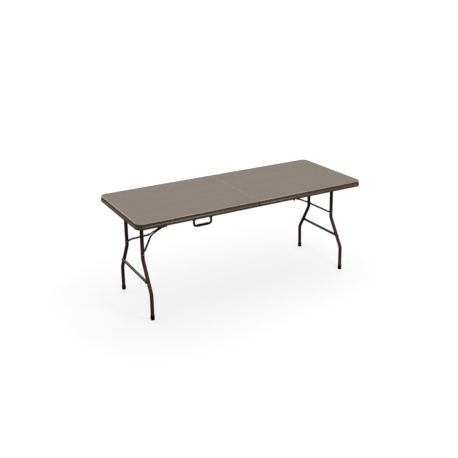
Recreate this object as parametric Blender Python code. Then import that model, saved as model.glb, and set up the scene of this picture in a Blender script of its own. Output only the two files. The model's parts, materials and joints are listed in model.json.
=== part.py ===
"""Folding table: a moulded top in two halves, hinged across the middle, on two
folding wishbone leg frames. Metres, +Z up, the floor at z = 0, the middle of the
table at x = y = 0 and the carrying handle on the front (-Y) edge of the left half.

Both halves are built by the same functions in one local frame, where +X points
outboard from the centre hinge. The left half is that frame turned half a turn
about Z, so a part on its local -Y side is the back one of the left half.
"""
import math

import bmesh
import bpy
from mathutils import Matrix, Vector

# Overall sizes
LENGTH = 1.80
WIDTH = 0.74
HEIGHT = 0.74

# Moulded panels
SKIRT_DEPTH = 0.042
SKIN = 0.006
WALL = 0.006
LIP = 0.003
LIP_SHARE = 0.48
ARRIS = 0.007
SEAM_ARRIS = 0.003
CEILING_FILLET = 0.002
CORNER_RADIUS = 0.050
SEAM_RADIUS = 0.004
SEAM_GAP = 0.0006

# Clearances
GAP = 0.0003
RUNNING = 0.0001
SCREW_GAP = 0.0003
OVERCUT = 0.005

# Side rails
RAIL_SETBACK = 0.009
RAIL_FLANGE = 0.022
RAIL_THICKNESS = 0.002
RAIL_SKIRT_GAP = 0.0055
RAIL_START = 0.030
RAIL_END_GAP = 0.040
SCREW_RADIUS = 0.002
SCREW_BITE = 0.004
SCREW_HEAD_RADIUS = 0.004
SCREW_HEAD_HEIGHT = 0.0025
SCREW_SHARES = (0.20, 0.72)

# Leg frames
LEG_INSET = 0.111
LEG_LEAN = math.radians(1.0)
PIVOT_TUBE_ROOM = 0.0021
STUB_SHOULDER = 0.004
PIVOT_TUBE_END_GAP = 0.001
STUB_LENGTH = 0.007
LEG_RADIUS = 0.013
TUBE_WALL = 0.0015
LEG_TOP_INSET = 0.222
LEG_FOOT_INSET = 0.095
UPPER_BEND_SHARE = 0.5432
LOWER_BEND_SHARE = 0.2527
CROSSBAR_SHARE = 0.3568
BEND_RADIUS = 0.060
CROSSBAR_RADIUS = 0.010
CROSSBAR_OFFSET = 0.0105
COPE_SHARE = 0.1
FOOT_WALL = 0.002
FOOT_LENGTH = 0.034
FOOT_SOLE = 0.006
FOOT_CHAMFER = 0.0015
LEG_TOP_DROP = 0.004
LEG_END_GAP = 0.001

# Folding braces
BRACE_SPAN = 0.609
BRACE_PIVOT_DROP = 0.0085
BRACE_SLOPE = math.radians(24.0)
RIVET_ABOVE_BEND = 0.035
ARM_WIDTH = 0.020
ARM_THICKNESS = 0.011
ARM_WALL = 0.0015
ARM_SOLID_END = 0.015
ROD_RADIUS = 0.007
EYE_RADIUS = 0.007
EYE_THICKNESS = 0.004
EYE_GAP = 0.0006
EYE_NECK = 0.014
ROD_BEND_RADIUS = 0.014
FLAT_LENGTH = 0.036
FLAT_HALF_HEIGHT = 0.0042
FLAT_JOIN = 0.006
RIVET_RADIUS = 0.003
RIVET_HEAD_RADIUS = 0.0052
RIVET_HEAD_THICKNESS = 0.0022
SLEEVE_LENGTH = 0.030
SLEEVE_PARK = 0.083
SLEEVE_WALL = 0.002
SLEEVE_TAB_DROP = 0.016
SLEEVE_TAB_THICKNESS = 0.006
SLEEVE_TAB_HALF_WIDTH = 0.007
BRACKET_LENGTH = 0.030
BRACKET_THICKNESS = 0.003
BRACKET_BASE = 0.0015
BRACKET_DEPTH = 0.008

# Centre hinges
LEAF_THICKNESS = 0.003
LEAF_LENGTH = 0.075
LEAF_RAIL_GAP = 0.0015
KNUCKLE_RADIUS = 0.007
HINGE_PIN_RADIUS = 0.003
NOTCH_HALF_WIDTH = 0.009
NOTCH_LENGTH = 0.012
NOTCH_ROOM = 0.002

# Carrying handle
HANDLE_OFF_MIDDLE = 0.017
HANDLE_DROP = 0.051
HANDLE_PIVOT_DROP = 0.008
HANDLE_PIVOT_SETBACK = 0.018
HANDLE_HALF_WIDTH = 0.0715
HANDLE_ARM = 0.016
HANDLE_THICKNESS = 0.012
HANDLE_GRIP = 0.020
HANDLE_OUTER_RADIUS = 0.016
HANDLE_INNER_RADIUS = 0.007
HANDLE_SOFT_EDGE = 0.0022
HANDLE_PIN_RADIUS = 0.0025
EAR_RADIUS = 0.0048
EAR_THICKNESS = 0.0025
EAR_PLATE_LENGTH = 0.026
EAR_PLATE_THICKNESS = 0.002

# Heights and places that follow from the sizes above
HALF_LENGTH = LENGTH / 2
HALF_WIDTH = WIDTH / 2
SKIRT_BOTTOM = HEIGHT - SKIRT_DEPTH
CEILING = HEIGHT - SKIN
RAIL_TOP = CEILING - GAP
RAIL_BOTTOM = SKIRT_BOTTOM + RAIL_SKIRT_GAP
RAIL_OUTER_Y = HALF_WIDTH - LIP - WALL - RAIL_SETBACK
RAIL_WEB_Y = RAIL_OUTER_Y - RAIL_THICKNESS
RAIL_INNER_Y = RAIL_OUTER_Y - RAIL_FLANGE
PIVOT_TUBE_RADIUS = (RAIL_TOP - RAIL_BOTTOM) / 2 - RAIL_THICKNESS - PIVOT_TUBE_ROOM
STUB_RADIUS = PIVOT_TUBE_RADIUS - STUB_SHOULDER
LEG_PIVOT_X = HALF_LENGTH - LEG_INSET
LEG_PIVOT_Z = (RAIL_TOP + RAIL_BOTTOM) / 2
LEG_TOP_Y = HALF_WIDTH - LEG_TOP_INSET
LEG_FOOT_Y = HALF_WIDTH - LEG_FOOT_INSET
FOOT_RADIUS = LEG_RADIUS + FOOT_WALL
UPPER_BEND_HEIGHT = HEIGHT * UPPER_BEND_SHARE
LOWER_BEND_HEIGHT = HEIGHT * LOWER_BEND_SHARE
CROSSBAR_HEIGHT = HEIGHT * CROSSBAR_SHARE
LEG_RIVET_HEIGHT = UPPER_BEND_HEIGHT + RIVET_ABOVE_BEND
BRACE_PIVOT_X = LEG_PIVOT_X - BRACE_SPAN
BRACE_PIVOT_Z = CEILING - BRACE_PIVOT_DROP
EYE_LOW_Y = LEG_TOP_Y - LEG_RADIUS - GAP - EYE_THICKNESS
HANDLE_X = HALF_LENGTH / 2 - HANDLE_OFF_MIDDLE

ROUND = 24
SMALL_ROUND = 16
SCREW_ROUND = 12


def clear_scene():
    for thing in list(bpy.data.objects):
        bpy.data.objects.remove(thing, do_unlink=True)


def material(name, colour, roughness, metallic):
    made = bpy.data.materials.get(name)
    if made:
        return made
    made = bpy.data.materials.new(name)
    made.use_nodes = True
    shader = made.node_tree.nodes["Principled BSDF"]
    shader.inputs["Base Color"].default_value = (*colour, 1.0)
    shader.inputs["Roughness"].default_value = roughness
    shader.inputs["Metallic"].default_value = metallic
    return made


def hdpe():
    return material("moulded_polyethylene", (0.235, 0.205, 0.168), 0.45, 0.0)


def painted_steel():
    return material("painted_steel", (0.030, 0.018, 0.013), 0.40, 0.0)


def bright_steel():
    return material("bright_steel", (0.60, 0.60, 0.58), 0.30, 1.0)


def black_rubber():
    return material("black_rubber", (0.012, 0.012, 0.012), 0.75, 0.0)


def black_plastic():
    return material("black_plastic", (0.014, 0.014, 0.013), 0.45, 0.0)


def empty(name, location, parent=None, rotation_y=0.0, rotation_z=0.0):
    made = bpy.data.objects.new(name, None)
    made.location = location
    made.rotation_euler = (0.0, rotation_y, rotation_z)
    made.parent = parent
    bpy.context.scene.collection.objects.link(made)
    return made


def finish(bm, name, surface, parent=None, location=(0, 0, 0), smooth=True):
    """Turn a bmesh into a named object."""
    bmesh.ops.remove_doubles(bm, verts=bm.verts, dist=1e-6)
    bmesh.ops.recalc_face_normals(bm, faces=bm.faces)
    mesh = bpy.data.meshes.new(name)
    bm.to_mesh(mesh)
    bm.free()
    made = bpy.data.objects.new(name, mesh)
    made.location = location
    made.parent = parent
    if surface:
        mesh.materials.append(surface)
    bpy.context.scene.collection.objects.link(made)
    if smooth:
        mesh.shade_smooth()
        mesh.set_sharp_from_angle(angle=math.radians(35))
    return made


def cutter(made):
    made.hide_render = True
    made.display_type = "WIRE"
    return made


def boolean(target, tool, operation="DIFFERENCE"):
    step = target.modifiers.new(tool.name, "BOOLEAN")
    step.operation = operation
    step.solver = "EXACT"
    step.object = tool
    return target


def loft(bm, rings, capped=True):
    """Join a list of equal closed rings by faces, and cap the two ends. An uncapped one
    is joined from its last ring back to its first."""
    made = [[bm.verts.new(point) for point in ring] for ring in rings]
    pairs = list(zip(made, made[1:]))
    if capped:
        bm.faces.new(made[0])
        bm.faces.new(made[-1])
    else:
        pairs.append((made[-1], made[0]))
    for lower, upper in pairs:
        for at, vert in enumerate(lower):
            onward = (at + 1) % len(lower)
            bm.faces.new((vert, lower[onward], upper[onward], upper[at]))
    return bm


def arc(centre, radius, start, end, steps):
    """Points of an arc in a plane, angles in degrees."""
    points = []
    for step in range(steps + 1):
        angle = math.radians(start + (end - start) * step / steps)
        points.append((centre[0] + radius * math.cos(angle),
                       centre[1] + radius * math.sin(angle)))
    return points


def prism(name, outline, low, high, axis, surface, parent=None, location=(0, 0, 0)):
    """Extrude a closed outline along an axis. On Y it is given as (x, z)."""
    place = {
        "X": lambda a, b, t: (t, a, b),
        "Y": lambda a, b, t: (a, t, b),
        "Z": lambda a, b, t: (a, b, t),
    }[axis]
    bm = bmesh.new()
    verts = [bm.verts.new(place(a, b, low)) for a, b in outline]
    face = bm.faces.new(verts)
    grown = bmesh.ops.extrude_face_region(bm, geom=[face])
    moved = [item for item in grown["geom"] if isinstance(item, bmesh.types.BMVert)]
    bmesh.ops.translate(bm, verts=moved, vec=Vector(place(0, 0, high - low)))
    return finish(bm, name, surface, parent, location)


def box(name, low, high, surface=None, parent=None, location=(0, 0, 0)):
    outline = [(low[0], low[1]), (high[0], low[1]), (high[0], high[1]), (low[0], high[1])]
    return prism(name, outline, low[2], high[2], "Z", surface, parent, location)


def lathe(name, profile, axis, surface=None, parent=None, location=(0, 0, 0), steps=ROUND):
    """Spin a closed profile of (radius, distance along the axis) once round."""
    bm = bmesh.new()
    turn = {"X": Matrix.Rotation(math.pi / 2, 4, "Y"),
            "Y": Matrix.Rotation(-math.pi / 2, 4, "X"),
            "Z": Matrix.Identity(4)}[axis]
    verts = [bm.verts.new((radius, 0.0, along)) for radius, along in profile]
    edges = [bm.edges.new(pair) for pair in zip(verts, verts[1:])]
    if profile[0][0] > 0.0:
        edges.append(bm.edges.new((verts[-1], verts[0])))
    bmesh.ops.spin(bm, geom=verts + edges, cent=(0, 0, 0), axis=(0, 0, 1),
                   angle=2 * math.pi, steps=steps, use_merge=True)
    bmesh.ops.transform(bm, matrix=turn, verts=bm.verts)
    return finish(bm, name, surface, parent, location)


def cylinder(name, radius, low, high, axis, surface=None, parent=None,
             location=(0, 0, 0), steps=ROUND):
    profile = [(0.0, low), (radius, low), (radius, high), (0.0, high)]
    return lathe(name, profile, axis, surface, parent, location, steps)


def rivet(name, radius, low, high, axis, parent, location):
    """A pin with a domed head at both ends."""
    head = RIVET_HEAD_RADIUS * radius / RIVET_RADIUS
    thick = RIVET_HEAD_THICKNESS
    bottom = [(0.0, low - thick), (head * 0.75, low - thick * 0.75), (head, low), (radius, low)]
    top = [(radius, high), (head, high), (head * 0.75, high + thick * 0.75), (0.0, high + thick)]
    return lathe(name, bottom + top, axis, bright_steel(), parent, location, SMALL_ROUND)


def rounded_path(corners, radius, steps):
    """Replace each inner corner of a 3D polyline by an arc of the given radius."""
    points = [Vector(corners[0])]
    for before, corner, after in zip(corners, corners[1:], corners[2:]):
        corner = Vector(corner)
        inward = (Vector(before) - corner).normalized()
        outward = (Vector(after) - corner).normalized()
        half = inward.angle(outward) / 2
        reach = radius / math.tan(half)
        centre = corner + (inward + outward).normalized() * (radius / math.sin(half))
        start = corner + inward * reach - centre
        end = corner + outward * reach - centre
        swing = start.angle(end)
        for step in range(steps + 1):
            part = step / steps
            blend = (start * math.sin((1 - part) * swing) + end * math.sin(part * swing))
            points.append(centre + blend / math.sin(swing))
    points.append(Vector(corners[-1]))
    return points


def sweep_rings(path, radius, steps, sideways):
    """Circles set square to a path. The sideways vector fixes where each starts."""
    rings = []
    for index, point in enumerate(path):
        ahead = path[min(index + 1, len(path) - 1)] - path[max(index - 1, 0)]
        ahead.normalize()
        across = (sideways - ahead * sideways.dot(ahead)).normalized()
        third = ahead.cross(across)
        ring = []
        for step in range(steps):
            angle = 2 * math.pi * step / steps
            ring.append(point + (across * math.cos(angle) + third * math.sin(angle)) * radius)
        rings.append(ring)
    return rings


def bar(name, path, radius, surface, parent=None, steps=ROUND, sideways=(1, 0, 0)):
    """A solid round bar along a path. No stretch of it may run along sideways."""
    bm = loft(bmesh.new(), sweep_rings(path, radius, steps, Vector(sideways)))
    return finish(bm, name, surface, parent)


def tube(name, path, radius, wall, surface, parent=None, steps=ROUND):
    """A round tube along a path, open at both ends."""
    outer = sweep_rings(path, radius, steps, Vector((1, 0, 0)))
    inner = sweep_rings(path, radius - wall, steps, Vector((1, 0, 0)))
    bm = loft(bmesh.new(), outer + inner[::-1], capped=False)
    return finish(bm, name, surface, parent)


def panel_ring(inset, seam_x, seam_radius, height):
    """The panel's outline, inset all round, as seen from above."""
    outer_radius = CORNER_RADIUS - inset
    outer_x = HALF_LENGTH - CORNER_RADIUS
    outer_y = HALF_WIDTH - CORNER_RADIUS
    seam_y = HALF_WIDTH - inset - seam_radius
    points = arc((outer_x, -outer_y), outer_radius, -90, 0, 9)
    points += arc((outer_x, outer_y), outer_radius, 0, 90, 9)
    points += arc((seam_x + seam_radius, seam_y), seam_radius, 90, 180, 3)
    points += arc((seam_x + seam_radius, -seam_y), seam_radius, 180, 270, 3)
    return [(x, y, height) for x, y in points]


def panel_profile():
    """(inset, seam inset, corner radius at the seam, depth), top centre to ceiling."""
    seam = SEAM_GAP / 2
    profile = []
    for inset, depth in arc((LIP + ARRIS, -ARRIS), ARRIS, 90, 180, 5):
        share = (inset - LIP) / ARRIS
        profile.append((inset, seam + SEAM_ARRIS * share, SEAM_RADIUS, -depth))
    lip_top = SKIRT_DEPTH * (1 - LIP_SHARE)
    profile.append((LIP, seam, SEAM_RADIUS, lip_top))
    profile.append((0.0, seam, SEAM_RADIUS, lip_top + LIP * 1.4))
    profile.append((0.0, seam, SEAM_RADIUS, SKIRT_DEPTH - LIP))
    profile.append((LIP * 0.8, seam + LIP * 0.4, SEAM_RADIUS, SKIRT_DEPTH))
    inner = LIP + WALL
    profile.append((inner, seam + WALL, SEAM_RADIUS, SKIRT_DEPTH))
    profile.append((inner, seam + WALL, SEAM_RADIUS, SKIN + CEILING_FILLET))
    profile.append((inner + CEILING_FILLET, seam + WALL + CEILING_FILLET, SEAM_RADIUS, SKIN))
    return profile


def rail_screw_places():
    return [(x, end * (RAIL_WEB_Y + RAIL_INNER_Y) / 2, end)
            for end in (-1, 1)
            for x in (HALF_LENGTH * share for share in SCREW_SHARES)]


def build_panel(side, half):
    rings = [panel_ring(inset, seam_x, radius, HEIGHT - depth)
             for inset, seam_x, radius, depth in panel_profile()]
    bm = loft(bmesh.new(), rings)
    panel = finish(bm, f"{side}_top_panel", hdpe(), half)
    for end in (-1, 1):
        notch_top = SKIRT_BOTTOM + KNUCKLE_RADIUS + NOTCH_ROOM
        middle = end * (RAIL_WEB_Y - LEAF_THICKNESS)
        notch = box(f"{side}_notch_{end}",
                    (-OVERCUT, middle - NOTCH_HALF_WIDTH, SKIRT_BOTTOM - OVERCUT),
                    (NOTCH_LENGTH, middle + NOTCH_HALF_WIDTH, notch_top), parent=half)
        boolean(panel, cutter(notch))
    for index, (x, y, _) in enumerate(rail_screw_places()):
        depth = SCREW_BITE + SCREW_GAP + GAP
        hole = cylinder(f"{side}_screw_hole_{index}", SCREW_RADIUS + SCREW_GAP, -OVERCUT,
                        depth, "Z", parent=half, location=(x, y, CEILING), steps=SCREW_ROUND)
        boolean(panel, cutter(hole))
    return panel


def build_rail(side, name, end, half):
    """A C section that opens inward, with its web towards the skirt."""
    inner, outer = RAIL_INNER_Y * end, RAIL_OUTER_Y * end
    web = RAIL_WEB_Y * end
    outline = [(inner, RAIL_BOTTOM), (outer, RAIL_BOTTOM), (outer, RAIL_TOP),
               (inner, RAIL_TOP), (inner, RAIL_TOP - RAIL_THICKNESS),
               (web, RAIL_TOP - RAIL_THICKNESS), (web, RAIL_BOTTOM + RAIL_THICKNESS),
               (inner, RAIL_BOTTOM + RAIL_THICKNESS)]
    rail = prism(f"{side}_{name}_rail", outline, RAIL_START, HALF_LENGTH - RAIL_END_GAP, "X",
                 painted_steel(), half)
    pivot = cylinder(f"{side}_{name}_pivot_hole", STUB_RADIUS + RUNNING,
                     end * RAIL_WEB_Y - OVERCUT, end * RAIL_WEB_Y + OVERCUT, "Y", parent=half,
                     location=(LEG_PIVOT_X, 0, LEG_PIVOT_Z))
    boolean(rail, cutter(pivot))
    for index, (x, y, screw_end) in enumerate(rail_screw_places()):
        if screw_end == end:
            hole = cylinder(f"{side}_{name}_rail_hole_{index}", SCREW_RADIUS + SCREW_GAP,
                            -OVERCUT, OVERCUT, "Z", parent=half, location=(x, y, RAIL_TOP),
                            steps=SCREW_ROUND)
            boolean(rail, cutter(hole))
    return rail


def build_screws(side, half, names):
    order = {}
    for x, y, end in rail_screw_places():
        label = names[end]
        order[label] = order.get(label, 0) + 1
        under = -RAIL_THICKNESS - GAP
        head, rise = SCREW_HEAD_RADIUS, SCREW_HEAD_HEIGHT
        profile = [(0.0, under - rise), (head * 0.75, under - rise * 0.88),
                   (head, under - rise * 0.4), (head, under), (SCREW_RADIUS, under),
                   (SCREW_RADIUS, SCREW_BITE), (0.0, SCREW_BITE)]
        lathe(f"{side}_{label}_rail_screw_{order[label]}", profile, "Z", bright_steel(), half,
              (x, y, RAIL_TOP), SCREW_ROUND)


def build_hinge_leaf(side, name, end, half):
    """A flat leaf on the rail's web. The one on the local -Y side stands further in,
    so that it passes beside the other half's leaf."""
    stands_in = end < 0
    outer = RAIL_WEB_Y - GAP - (LEAF_THICKNESS + GAP if stands_in else 0.0)
    low, high = sorted((end * outer, end * (outer - LEAF_THICKNESS)))
    floor = RAIL_BOTTOM + RAIL_THICKNESS + LEAF_RAIL_GAP
    ceiling = RAIL_TOP - RAIL_THICKNESS - LEAF_RAIL_GAP
    reach = RAIL_START - OVERCUT
    far = RAIL_START + LEAF_LENGTH
    outline = arc((0.0, SKIRT_BOTTOM), KNUCKLE_RADIUS, 90, 315, 14)
    outline += [(reach, floor), (far, floor), (far, ceiling), (reach, ceiling),
                (NOTCH_LENGTH, SKIRT_BOTTOM + KNUCKLE_RADIUS)]
    leaf = prism(f"{side}_{name}_hinge_leaf", outline, low, high, "Y", painted_steel(), half)
    if stands_in:
        pad_low, pad_high = sorted((end * (RAIL_WEB_Y - GAP), end * (outer - LEAF_THICKNESS / 2)))
        pad = box(f"{side}_{name}_leaf_pad", (RAIL_START + OVERCUT, pad_low, floor),
                  (far, pad_high, ceiling), parent=half)
        boolean(leaf, cutter(pad), "UNION")
    hole = cylinder(f"{side}_{name}_leaf_hole", HINGE_PIN_RADIUS + RUNNING,
                    low - OVERCUT, high + OVERCUT, "Y", parent=half, location=(0, 0, SKIRT_BOTTOM),
                    steps=SMALL_ROUND)
    boolean(leaf, cutter(hole))
    return leaf


def down(height):
    """Where a world height falls on a leg, in the leg frame."""
    return -(LEG_PIVOT_Z - height) / math.cos(LEG_LEAN)


def build_leg_frame(side, names, frame):
    """Everything that swings on the leg pivot. Its frame hangs down along -Z."""
    stub_end = RAIL_WEB_Y - PIVOT_TUBE_END_GAP
    profile = [(STUB_RADIUS - TUBE_WALL, -stub_end - STUB_LENGTH),
               (STUB_RADIUS, -stub_end - STUB_LENGTH), (STUB_RADIUS, -stub_end),
               (PIVOT_TUBE_RADIUS, -stub_end), (PIVOT_TUBE_RADIUS, stub_end),
               (STUB_RADIUS, stub_end), (STUB_RADIUS, stub_end + STUB_LENGTH),
               (STUB_RADIUS - TUBE_WALL, stub_end + STUB_LENGTH)]
    lathe(f"{side}_pivot_tube", profile, "Y", painted_steel(), frame)

    saddle = cutter(cylinder(f"{side}_saddle", PIVOT_TUBE_RADIUS + GAP, -HALF_WIDTH, HALF_WIDTH,
                             "Y", parent=frame))
    rivet_z = down(LEG_RIVET_HEIGHT)
    rivet_hole = cutter(cylinder(f"{side}_rivet_hole", RIVET_RADIUS + RUNNING,
                                 -HALF_WIDTH, HALF_WIDTH, "Y", parent=frame,
                                 location=(0, 0, rivet_z), steps=SMALL_ROUND))
    crossbar_path = [Vector((CROSSBAR_OFFSET, end * LEG_FOOT_Y, down(CROSSBAR_HEIGHT)))
                     for end in (-1, 1)]
    crossbar = bar(f"{side}_crossbar", crossbar_path, CROSSBAR_RADIUS, painted_steel(), frame)

    for end in (-1, 1):
        name = names[end]
        corners = [(0, end * LEG_TOP_Y, -LEG_TOP_DROP),
                   (0, end * LEG_TOP_Y, down(UPPER_BEND_HEIGHT)),
                   (0, end * LEG_FOOT_Y, down(LOWER_BEND_HEIGHT)),
                   (0, end * LEG_FOOT_Y, down(FOOT_SOLE + LEG_END_GAP))]
        path = rounded_path(corners, BEND_RADIUS, 5)
        leg = tube(f"{side}_{name}_leg", path, LEG_RADIUS, TUBE_WALL, painted_steel(), frame,
                   steps=SMALL_ROUND)
        boolean(leg, saddle)
        boolean(leg, rivet_hole)
        upper, lower = Vector(corners[1]), Vector(corners[2])
        cope_path = [upper + (upper - lower) * COPE_SHARE, lower + (lower - upper) * COPE_SHARE]
        cope = bar(f"{side}_{name}_cope", cope_path, LEG_RADIUS + GAP, None, frame)
        boolean(crossbar, cutter(cope))
        outside = prism(f"{side}_{name}_crossbar_end",
                        [(point.y, point.z) for point in cope_path]
                        + [(end * HALF_WIDTH, point.z) for point in cope_path[::-1]],
                        -LEG_RADIUS * 2, LEG_RADIUS * 2, "X", None, frame)
        boolean(crossbar, cutter(outside))
        build_foot(side, name, end, frame)
        low, high = sorted((end * (EYE_LOW_Y - GAP), end * (LEG_TOP_Y + LEG_RADIUS + GAP)))
        rivet(f"{side}_{name}_leg_rivet", RIVET_RADIUS, low, high, "Y", frame, (0, 0, rivet_z))
    return rivet_z


def build_foot(side, name, end, frame):
    """A cap on the end of the leg, with its base cut level with the floor."""
    bore = LEG_RADIUS + GAP
    chamfer = FOOT_CHAMFER
    sole_top = down(FOOT_SOLE)
    bottom = down(0.0)
    top = bottom + FOOT_LENGTH
    profile = [(0.0, bottom), (FOOT_RADIUS - chamfer, bottom), (FOOT_RADIUS, bottom + chamfer * 2),
               (FOOT_RADIUS, top - chamfer), (FOOT_RADIUS - chamfer / 2, top), (bore, top),
               (bore, sole_top), (0.0, sole_top)]
    foot = lathe(f"{side}_{name}_foot", profile, "Z", black_rubber(), frame,
                 (0, end * LEG_FOOT_Y, 0), SMALL_ROUND)
    for vert in foot.data.vertices:
        if vert.co.z < bottom + chamfer:
            vert.co.z = bottom - vert.co.x * math.tan(LEG_LEAN)


def brace_lengths():
    """Arm and rod lengths that suit both the open and the folded table, and the slope
    from the leg rivet up to the knee with the legs out.

    The arm slopes down at BRACE_SLOPE when the legs are out and lies level when they are
    folded. The rods join its end, the knee, to the leg rivet, so the knee has to be as
    far from the rivet in one place as in the other. That gives the arm's length.
    """
    reach = (LEG_PIVOT_Z - LEG_RIVET_HEIGHT) / math.cos(LEG_LEAN)
    pivot = Vector((BRACE_PIVOT_X, BRACE_PIVOT_Z))
    rivet_out = Vector((LEG_PIVOT_X + reach * math.sin(LEG_LEAN), LEG_RIVET_HEIGHT)) - pivot
    rivet_in = Vector((LEG_PIVOT_X - reach, LEG_PIVOT_Z)) - pivot
    arm_out = Vector((math.cos(BRACE_SLOPE), -math.sin(BRACE_SLOPE)))
    arm_in = Vector((1.0, 0.0))
    arm = ((rivet_out.length_squared - rivet_in.length_squared)
           / (2 * (rivet_out.dot(arm_out) - rivet_in.dot(arm_in))))
    to_knee = arm_out * arm - rivet_out
    return arm, to_knee.length, math.atan2(to_knee.y, to_knee.x)


def build_arm(side, arm_frame, length):
    """The brace's upper member: a channel, open upwards, with solid ends."""
    half = ARM_THICKNESS / 2
    outline = arc((0, 0), half, 90, 270, 8) + arc((length, 0), half, -90, 90, 8)
    arm = prism(f"{side}_brace_arm", outline, -ARM_WIDTH / 2, ARM_WIDTH / 2, "Y",
                painted_steel(), arm_frame)
    side_y = ARM_WIDTH / 2 - ARM_WALL
    trough = box(f"{side}_arm_trough", (ARM_SOLID_END, -side_y, -half + ARM_WALL),
                 (length - ARM_SOLID_END, side_y, half + OVERCUT), parent=arm_frame)
    boolean(arm, cutter(trough))
    for label, x, clearance in (("pivot", 0.0, RUNNING), ("knee", length, GAP)):
        hole = cylinder(f"{side}_arm_{label}_hole", RIVET_RADIUS + clearance, -ARM_WIDTH, ARM_WIDTH,
                        "Y", parent=arm_frame, location=(x, 0, 0), steps=SMALL_ROUND)
        boolean(arm, cutter(hole))
    return arm


def build_sleeve(side, sleeve_frame):
    """The lock sleeve, parked on the arm, with a tab to push it by."""
    inner_y = ARM_WIDTH / 2 + EYE_GAP + EYE_THICKNESS + GAP
    inner_z = ARM_THICKNESS / 2 + GAP
    half = SLEEVE_LENGTH / 2
    outer = (inner_y + SLEEVE_WALL, inner_z + SLEEVE_WALL)
    sleeve = box(f"{side}_lock_sleeve", (-half, -outer[0], -outer[1]),
                 (half, outer[0], outer[1]), black_plastic(), sleeve_frame)
    tab = box(f"{side}_sleeve_tab",
              (-half, -SLEEVE_TAB_HALF_WIDTH, -outer[1] - SLEEVE_TAB_DROP),
              (-half + SLEEVE_TAB_THICKNESS, SLEEVE_TAB_HALF_WIDTH, -inner_z - GAP),
              parent=sleeve_frame)
    boolean(sleeve, cutter(tab), "UNION")
    bore = box(f"{side}_sleeve_bore", (-SLEEVE_LENGTH, -inner_y, -inner_z),
               (SLEEVE_LENGTH, inner_y, inner_z), parent=sleeve_frame)
    boolean(sleeve, cutter(bore))
    return sleeve


def build_brace_bracket(side, half):
    """A channel screwed under the panel, which carries the arm's pivot pin."""
    inner = ARM_WIDTH / 2 + GAP
    outer = inner + BRACKET_THICKNESS
    top = CEILING - GAP - BRACE_PIVOT_Z
    under = top - BRACKET_BASE
    outline = [(-outer, -BRACKET_DEPTH), (-inner, -BRACKET_DEPTH), (-inner, under),
               (inner, under), (inner, -BRACKET_DEPTH), (outer, -BRACKET_DEPTH),
               (outer, top), (-outer, top)]
    place = (BRACE_PIVOT_X, 0, BRACE_PIVOT_Z)
    bracket = prism(f"{side}_brace_bracket", outline, -BRACKET_LENGTH / 2, BRACKET_LENGTH / 2,
                    "X", painted_steel(), half, place)
    hole = cylinder(f"{side}_bracket_hole", RIVET_RADIUS + RUNNING, -2 * outer, 2 * outer, "Y",
                    parent=half, location=place, steps=SMALL_ROUND)
    boolean(bracket, cutter(hole))
    rivet(f"{side}_brace_pin", RIVET_RADIUS, -outer - GAP, outer + GAP, "Y", half, place)


def build_rod(side, name, end, rod_frame, length):
    """One brace rod: an eye on the leg rivet, a bent round bar and a flattened end
    that lies beside the arm. Its frame runs from the leg rivet, +X to the knee."""
    knee_low = ARM_WIDTH / 2 + EYE_GAP
    leg_y = end * (EYE_LOW_Y + EYE_THICKNESS - GAP - ROD_RADIUS)
    knee_y = end * (knee_low + GAP + ROD_RADIUS)
    flat_start = length - FLAT_LENGTH
    low, high = sorted((end * EYE_LOW_Y, end * (EYE_LOW_Y + EYE_THICKNESS)))
    eye_outline = arc((0, 0), EYE_RADIUS, 60, 300, 12)
    neck = ROD_RADIUS - GAP
    eye_outline += [(EYE_NECK, -neck), (EYE_NECK, neck)]
    rod = prism(f"{side}_{name}_brace_rod", eye_outline, low, high, "Y", painted_steel(), rod_frame)
    round_path = rounded_path([(EYE_NECK - ROD_RADIUS, leg_y, 0), (EYE_NECK * 2, leg_y, 0),
                               (flat_start - ROD_RADIUS, knee_y, 0),
                               (flat_start + FLAT_JOIN, knee_y, 0)], ROD_BEND_RADIUS, 3)
    shank = bar(f"{side}_{name}_rod_shank", round_path, ROD_RADIUS, None, rod_frame,
                SMALL_ROUND, (0, 0, 1))
    boolean(rod, cutter(shank), "UNION")
    low, high = sorted((end * knee_low, end * (knee_low + EYE_THICKNESS)))
    flat_outline = [(flat_start, FLAT_HALF_HEIGHT), (flat_start, -FLAT_HALF_HEIGHT)]
    flat_outline += arc((length, 0), ARM_THICKNESS / 2, -110, 110, 12)
    flat = prism(f"{side}_{name}_rod_flat", flat_outline, low, high, "Y", None, rod_frame)
    boolean(rod, cutter(flat), "UNION")
    for label, x in (("leg", 0.0), ("knee", length)):
        hole = cylinder(f"{side}_{name}_rod_{label}_hole", RIVET_RADIUS + RUNNING,
                        -HALF_WIDTH, HALF_WIDTH, "Y", parent=rod_frame, location=(x, 0, 0),
                        steps=SMALL_ROUND)
        boolean(rod, cutter(hole))
    cylinder(f"{side}_{name}_knee_rivet", RIVET_RADIUS, low, high, "Y", bright_steel(), rod_frame,
             (length, 0, 0), SMALL_ROUND)


def build_half(side, names, turn):
    half = empty(f"{side}_half", (0, 0, 0), rotation_z=turn)
    build_panel(side, half)
    for end in (-1, 1):
        build_rail(side, names[end], end, half)
        build_hinge_leaf(side, names[end], end, half)
    build_screws(side, half, names)
    build_brace_bracket(side, half)

    frame = empty(f"{side}_leg_frame", (LEG_PIVOT_X, 0, LEG_PIVOT_Z), half, -LEG_LEAN)
    rivet_z = build_leg_frame(side, names, frame)

    arm_length, rod_length, open_angle = brace_lengths()
    arm_frame = empty(f"{side}_arm_pivot", (BRACE_PIVOT_X, 0, BRACE_PIVOT_Z), half, BRACE_SLOPE)
    build_arm(side, arm_frame, arm_length)
    sleeve_frame = empty(f"{side}_sleeve_place", (arm_length - SLEEVE_PARK, 0, 0), arm_frame)
    build_sleeve(side, sleeve_frame)

    rod_frame = empty(f"{side}_rod_pivot", (0, 0, rivet_z), frame, LEG_LEAN - open_angle)
    for end in (-1, 1):
        build_rod(side, names[end], end, rod_frame, rod_length)
    return half


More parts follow.
